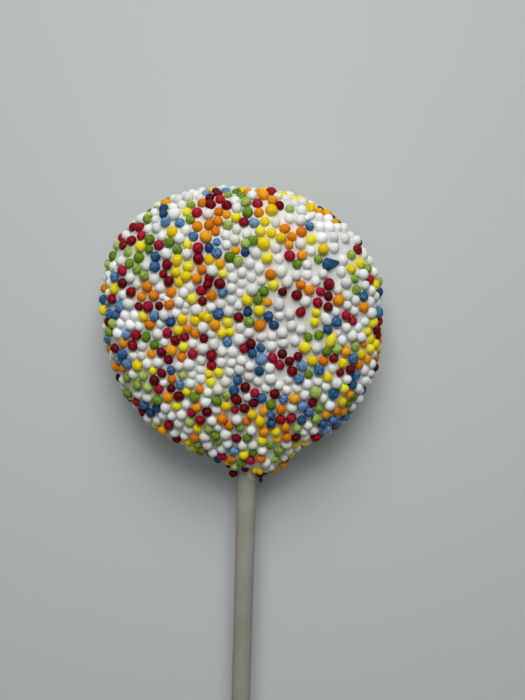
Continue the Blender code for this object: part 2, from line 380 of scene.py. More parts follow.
class BeadSettings(bpy.types.PropertyGroup):
    """Size and colours of the sugar beads"""

    radius: length_choice("Radius", "Mean radius of a sugar bead", 0.875 * MM, 0.3 * MM, 2 * MM)
    white_deep: colour_choice("Soft white", "The darkest white beads", paint(222, 222, 215))
    white: colour_choice("White", "Most of the white beads", paint(232, 234, 229))
    white_pale: colour_choice("Bright white", "The brightest white beads", paint(240, 242, 239))
    red_deep: colour_choice("Maroon", "The darkest red beads", paint(80, 0, 6))
    red: colour_choice("Crimson", "Most of the red beads", paint(126, 0, 14))
    red_pale: colour_choice("Raspberry", "The palest red beads", paint(172, 26, 52))
    orange_deep: colour_choice("Burnt orange", "The darkest orange beads", paint(212, 112, 3))
    orange: colour_choice("Orange", "Most of the orange beads", paint(230, 138, 4))
    orange_pale: colour_choice("Light orange", "The palest orange beads", paint(240, 168, 14))
    yellow_deep: colour_choice("Golden yellow", "The darkest yellow beads", paint(228, 192, 4))
    yellow: colour_choice("Yellow", "Most of the yellow beads", paint(242, 222, 6))
    yellow_pale: colour_choice("Light yellow", "The palest yellow beads", paint(238, 228, 60))
    green_deep: colour_choice("Leaf green", "The darkest green beads", paint(86, 120, 10))
    green: colour_choice("Green", "Most of the green beads", paint(120, 150, 38))
    green_pale: colour_choice("Light green", "The palest green beads", paint(172, 194, 108))
    blue_deep: colour_choice("Dark blue", "The darkest blue beads", paint(18, 62, 102))
    blue: colour_choice("Blue", "Most of the blue beads", paint(52, 100, 146))
    blue_pale: colour_choice("Light blue", "The palest blue beads", paint(120, 156, 198))


class IcingSettings(bpy.types.PropertyGroup):
    """Colour and thickness of the icing"""

    colour: colour_choice("Icing", "White of the icing", paint(226, 227, 222))
    hollow: colour_choice("Icing in patches", "Slightly darker patches", paint(213, 215, 209))
    collar: length_choice(
        "Collar height", "How far the icing has climbed up each bead", 0.1 * MM, 0, 0.6 * MM
    )
    collar_width: length_choice(
        "Collar width", "How far from a bead the icing starts to climb", 0.26 * MM, 0.05 * MM, 1 * MM
    )


class StickSettings(bpy.types.PropertyGroup):
    """Colour and roll of the paper stick; its colours are an off-white darkened as painted shade"""

    # Both paper colours are the paper's own off-white made darker, as painted shade for the shade the
    # stick lies in
    colour: colour_choice("Paper", "Main colour of the paper", paint(165, 164, 154))
    fibre: colour_choice("Paper fibres", "Slightly darker fibres", paint(153, 151, 139))
    sheet: length_choice(
        "Sheet thickness", "Thickness of the rolled sheet, the step at its seam", 0.06 * MM, 0, 0.3 * MM
    )


class StageSettings(bpy.types.PropertyGroup):
    """Floor and light"""

    floor: colour_choice("Floor", "Plain pale floor", paint(206, 212, 211))
    key_power: power_choice("Main light", "Power of the wide soft light above the top edge", 2.6)
    key_spread: bpy.props.FloatProperty(
        name="Spread of the main light",
        description="How wide the main light opens",
        default=math.radians(150),
        min=math.radians(10),
        max=math.pi,
        subtype="ANGLE",
    )
    near_power: power_choice("Near light", "Power of the soft light close to the head", 0.046)
    fill_power: power_choice("Fill light", "Power of the wide light overhead", 0.22)
    surroundings: bpy.props.FloatProperty(
        name="Surroundings", description="Brightness of the light from all round", default=0.13, min=0
    )
    backdrop: bpy.props.FloatProperty(
        name="Backdrop", description="Brightness of what is seen past the floor", default=0.36, min=0
    )


def lump_waves():
    """Wave vectors and phases of the soft unevenness."""
    rng = np.random.default_rng(LUMP_SEED)
    ways = rng.normal(size=(LUMP_WAVES, 3))
    ways /= np.linalg.norm(ways, axis=1, keepdims=True)
    lengths = rng.uniform(SHORTEST_LUMP, LONGEST_LUMP, LUMP_WAVES)
    return ways * (2 * math.pi / lengths)[:, None], rng.uniform(0, 2 * math.pi, LUMP_WAVES)


WAVES, PHASES = lump_waves()


def head_field(points):
    """Below zero inside the iced cake, zero on its surface and above zero outside."""
    across, along, through = points.T
    reach = np.where(along > 0, TOP_REACH, NECK_REACH)
    power = np.where(along > 0, TOP_POWER, NECK_POWER)
    outline = (abs(across + SKEW * along) / HALF_WIDTH) ** power + (abs(along) / reach) ** power
    rim = outline ** (RIM_POWER / power) + (abs(through) / HALF_DEPTH) ** RIM_POWER
    disc = np.linalg.norm(points, axis=1) * (1 - rim ** (-1 / RIM_POWER))
    knob = abs((points - KNOB_CENTRE) / KNOB_SIZE) ** KNOB_POWER
    knob = np.linalg.norm(points - KNOB_CENTRE, axis=1) * (1 - knob.sum(axis=1) ** (-1 / KNOB_POWER))
    lumps = LUMP_HEIGHT * np.sin(points @ WAVES.T + PHASES).sum(axis=1)
    return -BLEND * np.log(np.exp(-disc / BLEND) + np.exp(-knob / BLEND)) - lumps


def on_surface(points):
    """Each point moved along its ray from the cake's centre onto the icing's surface."""
    rays = points / np.linalg.norm(points, axis=1, keepdims=True)
    inner = np.full(len(rays), HALF_DEPTH / 2)
    outer = np.full(len(rays), NECK_REACH + HALF_DEPTH)
    for _ in range(HALVINGS):
        middle = (inner + outer) / 2
        inside = head_field(rays * middle[:, None]) < 0
        inner = np.where(inside, middle, inner)
        outer = np.where(inside, outer, middle)
    return rays * outer[:, None]


def surface_normals(points):
    """Outward unit normals, from the slope of the field."""
    steps = np.eye(3) * SLOPE_STEP
    slopes = [head_field(points + step) - head_field(points - step) for step in steps]
    normals = np.stack(slopes, axis=1)
    return normals / np.linalg.norm(normals, axis=1, keepdims=True)


def lowest_point(lean):
    """The lowest point of the leaning cake, in world directions from its centre."""
    ways = np.random.default_rng(SEARCH_SEED).normal(size=(SEARCH_RAYS, 3)) * SEARCH_SPREAD
    ways[:, 2] = -abs(ways[:, 2]) - SEARCH_DROP
    points = on_surface(ways) @ np.array(Matrix.Rotation(lean, 3, "X")).T
    return points[points[:, 2].argmin()]


def resting_pose():
    """Place and lean of the cake, so that the foot and the stick's far end touch the ground."""
    lean = 0.0
    for _ in range(LEANING_STEPS):
        lowest = lowest_point(lean)
        height = -lowest[2] - FOOT_SINK
        reach = STICK_LENGTH - STICK_INNER_END
        lean = math.asin((height - STICK_RADIUS * math.cos(lean)) / reach)
    return Matrix.Translation((-lowest[0], -lowest[1], height)) @ Matrix.Rotation(lean, 4, "X")


POSE = resting_pose()


def to_world(points):
    """Points given from the cake's centre, in the lying pop's place."""
    return points @ np.array(POSE.to_3x3()).T + np.array(POSE.translation)


def to_cake(points):
    """Points of the lying pop, given from the cake's centre."""
    return (points - np.array(POSE.translation)) @ np.array(POSE.to_3x3())


def search_tree(points):
    """The points sorted for quick searches of the nearest ones."""
    tree = kdtree.KDTree(len(points))
    for index, point in enumerate(points):
        tree.insert(point, index)
    tree.balance()
    return tree


def touching_pairs(points):
    """Index pairs of the beads that are close enough to push each other."""
    tree = search_tree(points)
    pairs = []
    for index, point in enumerate(points):
        near = sorted(found[1] for found in tree.find_range(point, PAIR_REACH))
        pairs += [(index, other) for other in near if other > index]
    return np.array(pairs).T


def scattered_points(rng):
    """Points drawn evenly over the icing, fewer in the thin places."""
    size = np.array((HALF_WIDTH, (TOP_REACH + NECK_REACH) / 2, HALF_DEPTH))
    ways = rng.normal(size=(SOWING_TRIES, 3)) * size
    points = on_surface(ways)
    lengths = np.linalg.norm(points, axis=1)
    facing = (points * surface_normals(points)).sum(axis=1)
    weights = lengths**3 / facing * np.linalg.norm(points / lengths[:, None] / size, axis=1) ** 3
    for across, along, radius, missing in THIN_PLACES:
        far = np.hypot(points[:, 0] - across, points[:, 1] - along) / radius
        weights *= 1 - missing * np.exp(-(far**2)) * (points[:, 2] > 0)
    chosen = rng.choice(SOWING_TRIES, BEADS, replace=False, p=weights / weights.sum())
    return points[chosen]


def shown_face(across, along, mean_radius):
    """The point of the icing straight above a place on the cake's middle plane."""
    low = 0.0
    high = HALF_DEPTH + mean_radius
    for _ in range(HALVINGS):
        middle = (low + high) / 2
        inside = head_field(np.array([[across, along, middle]]))[0] < 0
        low, high = (middle, high) if inside else (low, middle)
    return (across, along, high)


def settled(points, radii, held):
    """The beads pushed apart along the icing until hardly any two share the same place."""
    for step in range(SETTLING_STEPS):
        if step % STEPS_PER_SEARCH == 0:
            first, second = touching_pairs(points)
        apart = points[first] - points[second]
        distance = np.linalg.norm(apart, axis=1) + TINY
        overlap = np.maximum((radii[first] + radii[second]) * BEAD_CROWDING - distance, 0)
        push = apart * (overlap / distance / 2)[:, None]
        moved = points.copy()
        np.add.at(moved, first, push)
        np.add.at(moved, second, -push)
        moved[:held] = points[:held]
        points = on_surface(moved)
    return points


def bead_frames(normals, turns):
    """For each bead its long way, its short way and its outward way, as the columns of a matrix."""
    steep = abs(normals[:, :1]) > STEEP_SIDE
    base = np.where(steep, (0.0, 1.0, 0.0), (1.0, 0.0, 0.0))
    base -= normals * (base * normals).sum(axis=1, keepdims=True)
    base /= np.linalg.norm(base, axis=1, keepdims=True)
    side = np.cross(normals, base)
    long_way = base * np.cos(turns)[:, None] + side * np.sin(turns)[:, None]
    return np.stack((long_way, np.cross(normals, long_way), normals), axis=2)


@functools.cache
def sown_beads(mean_radius):
    """Centres, radii, stretches and frames of all the beads, in the cake's frame, the odd ones first."""
    rng = np.random.default_rng(SOWING_SEED)
    odd = np.array([bead[:5] for bead in ODD_BEADS.values()], float)
    odd_points = [shown_face(across, along, mean_radius) for across, along in odd[:, :2] * MM]
    points = np.concatenate((odd_points, scattered_points(rng)))
    radii = np.clip(rng.normal(mean_radius, BEAD_SPREAD, BEADS), SMALLEST_BEAD, LARGEST_BEAD)
    radii = np.concatenate((odd[:, 3] * MM / 2, radii))
    stretches = np.clip(1 + abs(rng.normal(0, STRETCH_SPREAD, BEADS)), 1, MOST_STRETCH)
    stretches = np.concatenate((odd[:, 2] / odd[:, 3], stretches))
    turns = np.concatenate((np.radians(odd[:, 4]), rng.uniform(0, math.pi, BEADS)))
    seats = rng.uniform(LOWEST_SEAT, HIGHEST_SEAT, len(radii))
    points = settled(points, radii * np.sqrt(stretches), len(odd))
    normals = surface_normals(points)
    centres = to_world(points + normals * (radii * seats)[:, None])
    centres[:, 2] = np.maximum(centres[:, 2], radii + PRESSED_GAP)
    on_foot = (np.hypot(centres[:, 0], centres[:, 1]) < FOOT_RADIUS) & (centres[:, 2] < HALF_DEPTH)
    centres = to_cake(centres)
    from_stick = np.hypot(centres[:, 0] - STICK_OFFSET, centres[:, 2])
    in_stick = (from_stick < STICK_RADIUS + radii) & (centres[:, 1] < KNOB_CENTRE[1])
    kept = ~(on_foot | in_stick)
    return centres[kept], radii[kept], stretches[kept], bead_frames(normals, turns)[kept]


def place_share(centres, across, along, radius, share):
    """The chance that each bead takes part in what happens at a place on the shown face."""
    far = np.hypot(centres[:, 0] - across * MM, centres[:, 1] - along * MM) / (radius * MM)
    return share * (far < 1) * (centres[:, 2] > 0)


@functools.cache
def bead_colours(mean_radius):
    """A colour name and a tone from 0 to 1 for each bead, and whether icing has run over it."""
    centres = sown_beads(mean_radius)[0]
    rng = np.random.default_rng(COLOUR_SEED)
    names = list(COLOUR_SHARES)
    shares = np.array(list(COLOUR_SHARES.values()))
    colours = rng.choice(names, len(centres), p=shares / shares.sum())
    alike = rng.random(len(centres)) < ALIKE_SHARE
    tree = search_tree(centres)
    for index in np.flatnonzero(alike):
        neighbour = tree.find_n(centres[index], 2)[1]
        if neighbour[2] < ALIKE_REACH:
            colours[index] = colours[neighbour[1]]
    for across, along, radius, colour, share in COLOUR_PLACES:
        chosen = rng.random(len(centres)) < place_share(centres, across, along, radius, share)
        colours[chosen] = colour
    for index, bead in enumerate(ODD_BEADS.values()):
        colours[index] = bead[6]
    tones = rng.random(len(centres))
    coated = np.zeros(len(centres), bool)
    for across, along, radius, share in COATED_PLACES:
        coated |= rng.random(len(centres)) < place_share(centres, across, along, radius, share)
    coated &= colours == "white"
    coated[: len(ODD_BEADS)] = False
    return colours, tones, coated


def along_stick(place):
    """Turns an upright shape's Z axis down the stick and sets its origin at a place along the cake."""
    return POSE @ Matrix.Translation((STICK_OFFSET, place, 0)) @ Matrix.Rotation(math.pi / 2, 4, "X")


def start_afresh():
    """Nothing stays selected, so that the next operator acts on its own new piece alone."""
    bpy.ops.object.select_all(action="DESELECT")


def corners_of(piece):
    """The places of a piece's corners, one in each row."""
    return np.array([vertex.co for vertex in piece.data.vertices], float)


def finished(piece, name, material):
    """The last steps on every piece: smooth shading, its material and its place on the pop."""
    piece.name = name
    piece.data.name = name
    piece.data.materials.clear()
    piece.data.materials.append(material)
    piece.data.shade_smooth()
    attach(piece, "root")
    return piece


@functools.cache
def modelled_ball(sides, rings):
    """Corners and faces of one round ball, modelled once and then laid down as often as needed."""
    start_afresh()
    bpy.ops.mesh.primitive_uv_sphere_add(segments=sides, ring_count=rings, radius=1)
    ball = bpy.context.object
    corners = corners_of(ball)
    faces = [tuple(face.vertices) for face in ball.data.polygons]
    bpy.data.objects.remove(ball)
    return corners, faces


def turned_sideways(corners):
    """The ball with its poles on the long way, so that a stretched shape has an even grid."""
    return corners[:, [2, 0, 1]]


def pellet(ways, radius, reach):
    """A short rod with round ends."""
    shape = ways * radius
    shape[:, 0] += (reach - radius) * np.clip(ways[:, 0] / PELLET_ENDS, -1, 1)
    return shape


def drop(ways, radius, reach):
    """A broad round end that runs out to a point."""
    shape = ways * radius
    point = np.maximum(ways[:, 0], 0)
    shape[:, 0] += 2 * (reach - radius) * point**2 - (reach - radius)
    shape[:, 1:] *= 1 - DROP_TAPER * point[:, None]
    shape[:, 2] *= DROP_FLATNESS
    return shape


def twin(ways, radius, reach):
    """Two balls that have grown together."""
    offset = reach - radius
    along = abs(ways[:, 0])
    chord = radius**2 - offset**2 * (1 - along**2)
    far = offset * along + np.sqrt(np.maximum(chord, (WAIST * radius) ** 2))
    return ways * far[:, None]


def egg(ways, radius, reach):
    """A ball drawn out one way and pressed a little flat."""
    return ways * (reach, radius, radius * BEAD_FLATNESS)


SHAPES = {"pellet": pellet, "drop": drop, "twin": twin, "ball": egg}


def bead_shape(kind, radius, reach, rng):
    """Corners and faces of one bead about its own centre, a little uneven."""
    if kind == "ball":
        ways, faces = modelled_ball(BALL_SIDES, BALL_RINGS)
    else:
        ways, faces = modelled_ball(ODD_SIDES, ODD_RINGS)
        ways = turned_sideways(ways)
    bumps = ways @ rng.normal(0, UNEVEN_FINENESS, (3, UNEVEN_WAVES))
    bumps += rng.uniform(0, 2 * math.pi, UNEVEN_WAVES)
    uneven = 1 + BEAD_UNEVENNESS * np.sin(bumps).sum(axis=1, keepdims=True)
    return SHAPES[kind](ways, radius, reach) * uneven, faces


def joined(name, shapes, material):
    """One mesh of many separate closed shapes, each with its own tone."""
    corners = []
    faces = []
    tones = []
    first = 0
    for points, sides, tone in shapes:
        corners.append(points)
        faces += [tuple(first + corner for corner in side) for side in sides]
        tones += [tone] * len(points)
        first += len(points)
    mesh = bpy.data.meshes.new(name)
    mesh.from_pydata(np.concatenate(corners).tolist(), [], faces)
    mesh.attributes.new("tone", "FLOAT", "POINT").data.foreach_set("value", tones)
    piece = bpy.data.objects.new(name, mesh)
    bpy.context.scene.collection.objects.link(piece)
    return finished(piece, name, material)


def feed(tree, source, target):
    """Links one node's output to another node's input."""
    tree.links.new(source, target)


def add_node(tree, kind, **values):
    """A node with its settings; a value whose name is a socket's goes to that socket."""
    node = tree.nodes.new(kind)
    for key, value in values.items():
        if key in node.inputs:
            node.inputs[key].default_value = value
        else:
            setattr(node, key, value)
    return node


def calculated(tree, operation, *terms):
    """The result of a sum whose terms are numbers or come from other nodes."""
    node = add_node(tree, "ShaderNodeMath", operation=operation)
    for index, term in enumerate(terms):
        if isinstance(term, float):
            node.inputs[index].default_value = term
        else:
            feed(tree, term, node.inputs[index])
    return node.outputs["Value"]


@functools.cache
def sugar_skin():
    """Node group for dyed sugar and icing: cloudy patches, fine specks, which the beads also use as
    painted glints, and a fine grain.
    """
    group = bpy.data.node_groups.new("sugar skin", "ShaderNodeTree")
    for name, default in SUGAR_SCALES.items():
        socket = group.interface.new_socket(name=name, in_out="INPUT", socket_type="NodeSocketFloat")
        socket.default_value = default
    for name in ("Patches", "Specks", "Grain"):
        group.interface.new_socket(name=name, in_out="OUTPUT", socket_type="NodeSocketFloat")
    entry = group.nodes.new("NodeGroupInput")
    leaving = group.nodes.new("NodeGroupOutput")
    place = group.nodes.new("ShaderNodeTexCoord")
    patches = add_node(group, "ShaderNodeTexNoise", Detail=3.0, Roughness=0.6)
    specks = add_node(group, "ShaderNodeTexNoise", Detail=1.0, Roughness=0.5)
    spread = add_node(group, "ShaderNodeMapRange", **{"From Min": 0.33, "From Max": 0.67})
    cut = add_node(group, "ShaderNodeMapRange", **{"From Min": 0.58, "From Max": 0.72})
    for texture, scale in ((patches, "Patch Scale"), (specks, "Speck Scale")):
        feed(group, place.outputs["Object"], texture.inputs["Vector"])
        feed(group, entry.outputs[scale], texture.inputs["Scale"])
    feed(group, patches.outputs["Fac"], spread.inputs["Value"])
    feed(group, specks.outputs["Fac"], cut.inputs["Value"])
    grain = calculated(group, "ADD", patches.outputs["Fac"], specks.outputs["Fac"])
    feed(group, spread.outputs["Result"], leaving.inputs["Patches"])
    feed(group, cut.outputs["Result"], leaving.inputs["Specks"])
    feed(group, grain, leaving.inputs["Grain"])
    return group


def new_material(name, gloss):
    """A material with its node tree and its shader."""
    material = bpy.data.materials.new(name)
    material.use_nodes = True
    shader = material.node_tree.nodes["Principled BSDF"]
    shader.inputs["Specular IOR Level"].default_value = gloss
    return material, material.node_tree, shader


def add_grain(tree, source, shader, strength, depth):
    """A fine relief that follows the source."""
    bump = add_node(tree, "ShaderNodeBump", Strength=strength, Distance=depth)
    feed(tree, source, bump.inputs["Height"])
    feed(tree, bump.outputs["Normal"], shader.inputs["Normal"])


def vary_roughness(tree, source, shader, least, most):
    """Roughness that follows the source from the least to the most."""
    rough = add_node(tree, "ShaderNodeMapRange", **{"To Min": least, "To Max": most})
    feed(tree, source, rough.inputs["Value"])
    feed(tree, rough.outputs["Result"], shader.inputs["Roughness"])


def place_group(tree, group, scales):
    """A node group placed in a material, with the scales that it has there."""
    node = add_node(tree, "ShaderNodeGroup", node_tree=group)
    for name, scale in scales.items():
        node.inputs[name].default_value = scale
    return node


def blended(tree, amount, first, second):
    """A mix of two colours by an amount; each colour is a fixed one or comes from another node."""
    node = add_node(tree, "ShaderNodeMix", data_type="RGBA")
    feed(tree, amount, node.inputs["Factor"])
    for name, colour in (("A", first), ("B", second)):
        if isinstance(colour, tuple):
            node.inputs[name].default_value = (*colour, 1)
        else:
            feed(tree, colour, node.inputs[name])
    return node.outputs["Result"]


def colour_ramp(tree, source, stops):
    """A colour for each value between the stops, which are pairs of a value and a colour."""
    ramp = tree.nodes.new("ShaderNodeValToRGB")
    elements = ramp.color_ramp.elements
    elements.remove(elements[1])
    elements[0].position, elements[0].color = stops[0][0], (*stops[0][1], 1)
    for position, colour in stops[1:]:
        elements.new(position).color = (*colour, 1)
    feed(tree, source, ramp.inputs["Fac"])
    return ramp.outputs["Color"]


def bead_material(colour, deep, main, pale, mottling, speck_and_glint_strength):
    """Dyed sugar: each bead has its own tone, with cloudy patches in it and pale specks that are partly
    the sugar's own and partly painted glints.
    """
    material, tree, shader = new_material(f"{colour} sugar", SUGAR_GLOSS)
    skin = place_group(tree, sugar_skin(), SUGAR_SCALES)
    tone = add_node(tree, "ShaderNodeAttribute", attribute_name="tone")
    shift = calculated(tree, "SUBTRACT", skin.outputs["Patches"], 0.5)
    mixed = calculated(tree, "MULTIPLY_ADD", shift, mottling, tone.outputs["Fac"])
    dyed = colour_ramp(tree, mixed, tuple(zip(TONE_STOPS, (deep, main, pale))))
    # Specks paler than the palest tone: partly the sugar's own pale specks, partly painted glints
    amount = calculated(tree, "MULTIPLY", skin.outputs["Specks"], speck_and_glint_strength)
    speck_and_glint = tuple(min(1, value * SPECK_AND_GLINT_GAIN + SPECK_AND_GLINT_LIFT) for value in pale)
    feed(tree, blended(tree, amount, dyed, speck_and_glint), shader.inputs["Base Color"])
    vary_roughness(tree, skin.outputs["Patches"], shader, *SUGAR_ROUGHNESS)
    add_grain(tree, skin.outputs["Grain"], shader, *SUGAR_GRAIN)
    return material


@functools.cache
def icing_material():
    """White icing with faint patches, tinted by the dye of the beads next to it."""
    settings = bpy.context.scene.icing
    material, tree, shader = new_material("white icing", ICING_GLOSS)
    skin = place_group(tree, sugar_skin(), ICING_SCALES)
    white = blended(tree, skin.outputs["Patches"], tuple(settings.hollow), tuple(settings.colour))
    stain = add_node(tree, "ShaderNodeAttribute", attribute_name="stain")
    tinted = blended(tree, stain.outputs["Alpha"], white, stain.outputs["Color"])
    feed(tree, tinted, shader.inputs["Base Color"])
    shader.inputs["Subsurface Weight"].default_value = ICING_GLOW
    shader.inputs["Subsurface Radius"].default_value = ICING_GLOW_TINT
    shader.inputs["Subsurface Scale"].default_value = ICING_GLOW_DEPTH
    vary_roughness(tree, skin.outputs["Patches"], shader, *ICING_ROUGHNESS)
    add_grain(tree, skin.outputs["Grain"], shader, *ICING_GRAIN)
    return material


def paper_material():
    """Matt rolled paper with fibres along the stick, in colours darkened as painted shade."""
    settings = bpy.context.scene.paper_stick
    material, tree, shader = new_material("rolled paper", PAPER_GLOSS)
    place = tree.nodes.new("ShaderNodeTexCoord")
    stretch = add_node(tree, "ShaderNodeMapping", Scale=(1, FINENESS_ALONG, 1))
    feed(tree, place.outputs["Object"], stretch.inputs["Vector"])
    fibres = add_node(tree, "ShaderNodeTexNoise", Scale=FIBRE_SCALE, Detail=4.0, Roughness=0.65)
    clouds = add_node(tree, "ShaderNodeTexNoise", Scale=CLOUD_SCALE, Detail=2.0)
    feed(tree, stretch.outputs["Vector"], fibres.inputs["Vector"])
    feed(tree, place.outputs["Object"], clouds.inputs["Vector"])
    half = calculated(tree, "MULTIPLY", clouds.outputs["Fac"], 0.5)
    both = calculated(tree, "MULTIPLY_ADD", fibres.outputs["Fac"], 0.5, half)
    # The ramp runs between the two paper colours, which both carry painted shade
    stops = tuple(zip(PAPER_STOPS, (settings.fibre, settings.colour)))
    feed(tree, colour_ramp(tree, both, stops), shader.inputs["Base Color"])
    vary_roughness(tree, fibres.outputs["Fac"], shader, *PAPER_ROUGHNESS)
    add_grain(tree, fibres.outputs["Fac"], shader, *PAPER_GRAIN)
    return material


def floor_material(colour):
    """The plain matt floor."""
    material, _, shader = new_material("pale floor", FLOOR_GLOSS)
    shader.inputs["Roughness"].default_value = FLOOR_ROUGHNESS
    shader.inputs["Base Color"].default_value = (*colour, 1)
    return material


def collars(points, normals, height, width):
    """How far the icing climbs at each point, and the dye that it has drawn from the beads there."""
    mean_radius = bpy.context.scene.sugar_beads.radius
    centres, radii, stretches, _ = sown_beads(mean_radius)
    colours, _, coated = bead_colours(mean_radius)
    tree = search_tree(centres)
    near = np.array([[hit[1] for hit in tree.find_n(point, COLLAR_NEIGHBOURS)] for point in points])
    apart = points[:, None] - centres[near]
    above = (apart * normals[:, None]).sum(axis=2)
    sideways = np.sqrt(np.maximum((apart**2).sum(axis=2) - above**2, 0))
    size = radii[near] * np.sqrt(stretches[near])
    contact = np.sqrt(np.maximum(size**2 - above**2, (DEEPEST_CONTACT * size) ** 2))
    clear = np.maximum(sideways - contact, 0)
    heights = np.where(coated[near], COATED_COLLAR, height)
    climb = heights * np.exp(-((clear / width) ** COLLAR_POWER))
    highest = climb.max(axis=1)
    rise = highest + np.minimum(MEETING_SHARE * (climb.sum(axis=1) - highest), highest / 2)
    paints = bpy.context.scene.sugar_beads
    dyes = np.array([tuple(getattr(paints, colour)) for colour in COLOUR_SHARES])
    strengths = np.array([STAIN_STRENGTH[colour] for colour in COLOUR_SHARES])
    order = {colour: index for index, colour in enumerate(COLOUR_SHARES)}
    kinds = np.array([order[colour] for colour in colours])[near]
    pull = strengths[kinds] * np.exp(-clear / STAIN_REACH)
    total = pull.sum(axis=1)
    stain = (dyes[kinds] * pull[:, :, None]).sum(axis=1) / np.maximum(total, TINY)[:, None]
    return rise, np.column_stack((stain, np.minimum(total, STRONGEST_STAIN)))


class CAKEPOP_OT_ice_cake(bpy.types.Operator):
    """Dips the cake: a ball drawn out to the head's form, with a collar of icing round every bead"""

    bl_idname = "cakepop.ice_cake"
    bl_label = "Ice the Cake"

    def execute(self, context):
        settings = context.scene.icing
        start_afresh()
        bpy.ops.mesh.primitive_uv_sphere_add(segments=ICING_SEGMENTS, ring_count=ICING_RINGS, radius=1)
        icing = context.object
        stretch = Matrix.Diagonal((HALF_WIDTH, NECK_REACH, HALF_DEPTH, 1))
        icing.data.transform(stretch @ Matrix.Rotation(math.pi / 2, 4, "X"))
        points = on_surface(corners_of(icing))
        normals = surface_normals(points)
        rise, stain = collars(points, normals, settings.collar, settings.collar_width)
        points = to_world(points + normals * (rise - ICING_SINK)[:, None])
        points[:, 2] = np.maximum(points[:, 2], 0)
        icing.data.vertices.foreach_set("co", points.ravel())
        colours = icing.data.attributes.new("stain", "FLOAT_COLOR", "POINT")
        colours.data.foreach_set("color", stain.ravel())
        icing.data.update()
        finished(icing, "icing", icing_material())
        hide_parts("iced_cake")
        return {"FINISHED"}


class CAKEPOP_OT_ice_neck(bpy.types.Operator):
    """Draws the icing a little way down the stick, in a thin sleeve that is thicker on one side"""

    bl_idname = "cakepop.ice_neck"
    bl_label = "Ice the Neck"

    def execute(self, context):
        start_afresh()
        bpy.ops.mesh.primitive_uv_sphere_add(segments=SLEEVE_SIDES, ring_count=SLEEVE_RINGS, radius=1)
        sleeve = context.object
        ways = corners_of(sleeve)
        angle = np.arctan2(ways[:, 1], ways[:, 0])
        walk = np.arccos(np.clip(-ways[:, 2], -1, 1)) / math.pi
        down = np.clip((walk - SLEEVE_START) / (SLEEVE_END - SLEEVE_START), 0, 1)
        thickness = SLEEVE_THIN + (SLEEVE_THICK - SLEEVE_THIN) * np.maximum(np.cos(angle), 0)
        radius = STICK_RADIUS + thickness * (1 - down**2) - SLEEVE_BITE * down
        radius *= np.clip(walk / SLEEVE_START, 0, 1) * np.clip((1 - walk) / (1 - SLEEVE_END), 0, 1)
        uneven = 1 + SLEEVE_SLANT * np.cos(angle) + SLEEVE_WAVE * np.sin(2 * angle)
        length = (SLEEVE_TOP - SLEEVE_TIP) * uneven
        points = np.column_stack((radius * np.cos(angle), radius * np.sin(angle), length * down))
        sleeve.data.vertices.foreach_set("co", points.ravel())
        sleeve.data.transform(along_stick(SLEEVE_TOP))
        # The film shows the paper's colour, and with it that colour's painted shade
        film = (*context.scene.paper_stick.colour, PAPER_SHOWING)
        stain = sleeve.data.attributes.new("stain", "FLOAT_COLOR", "POINT")
        stain.data.foreach_set("color", film * len(sleeve.data.vertices))
        finished(sleeve, "icing_on_the_stick", icing_material())
        return {"FINISHED"}


class CAKEPOP_OT_sow_beads(bpy.types.Operator):
    """Lays the sugar beads on the icing, one joined mesh for each colour"""

    bl_idname = "cakepop.sow_beads"
    bl_label = "Sow the Sugar Beads"

    def execute(self, context):
        paints = context.scene.sugar_beads
        centres, radii, stretches, frames = sown_beads(paints.radius)
        colours, tones, coated = bead_colours(paints.radius)
        rng = np.random.default_rng(SHAPING_SEED)
        kinds = [bead[5] for bead in ODD_BEADS.values()]
        kinds += ["ball"] * (len(centres) - len(kinds))
        hidden = np.zeros(len(centres), bool)
        piles = {colour: [] for colour in (*COLOUR_SHARES, "coated")}
        # Beads at the neck, whose low tones are painted shade under the head
        for across, along, above, length, width, turn, kind, colour, tone in NECK_BEADS:
            centre = np.array((across, along, above)) * MM
            crowded = np.linalg.norm(centres - centre, axis=1) < radii + width / 2 * MM * NECK_CROWDING
            hidden |= crowded
            shape, faces = bead_shape(kind, width / 2 * MM, length / 2 * MM, rng)
            turned = shape @ np.array(Matrix.Rotation(math.radians(turn), 3, "Z")).T
            piles[colour].append((to_world(centre + turned), faces, tone))
        for index, kind in enumerate(kinds):
            if hidden[index]:
                continue
            radius = radii[index] + (COAT if coated[index] else 0)
            shape, faces = bead_shape(kind, radius, radius * stretches[index], rng)
            shift = frames[index] @ rng.normal(0, BEAD_SHIFT, 3)
            points = to_world(centres[index] + shift + shape @ frames[index].T)
            points[:, 2] = np.maximum(points[:, 2], 0)
            pile = "coated" if coated[index] else colours[index]
            piles[pile].append((points, faces, tones[index]))
        for colour in COLOUR_SHARES:
            shades = [tuple(getattr(paints, colour + shade)) for shade in ("_deep", "", "_pale")]
            # The second strength of each pair is for the specks, which are partly painted glints
            clouding_and_glints = WHITE_CLOUDING_AND_GLINTS if colour == "white" else DYED_CLOUDING_AND_GLINTS
            material = bead_material(colour, *shades, *clouding_and_glints)
            beads = joined(f"{colour}_beads", piles[colour], material)
            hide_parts("iced_cake")
        coated_beads = joined("iced_over_beads", piles["coated"], icing_material())
        coated_beads.data.attributes.new("stain", "FLOAT_COLOR", "POINT")
        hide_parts("iced_cake")
        return {"FINISHED"}


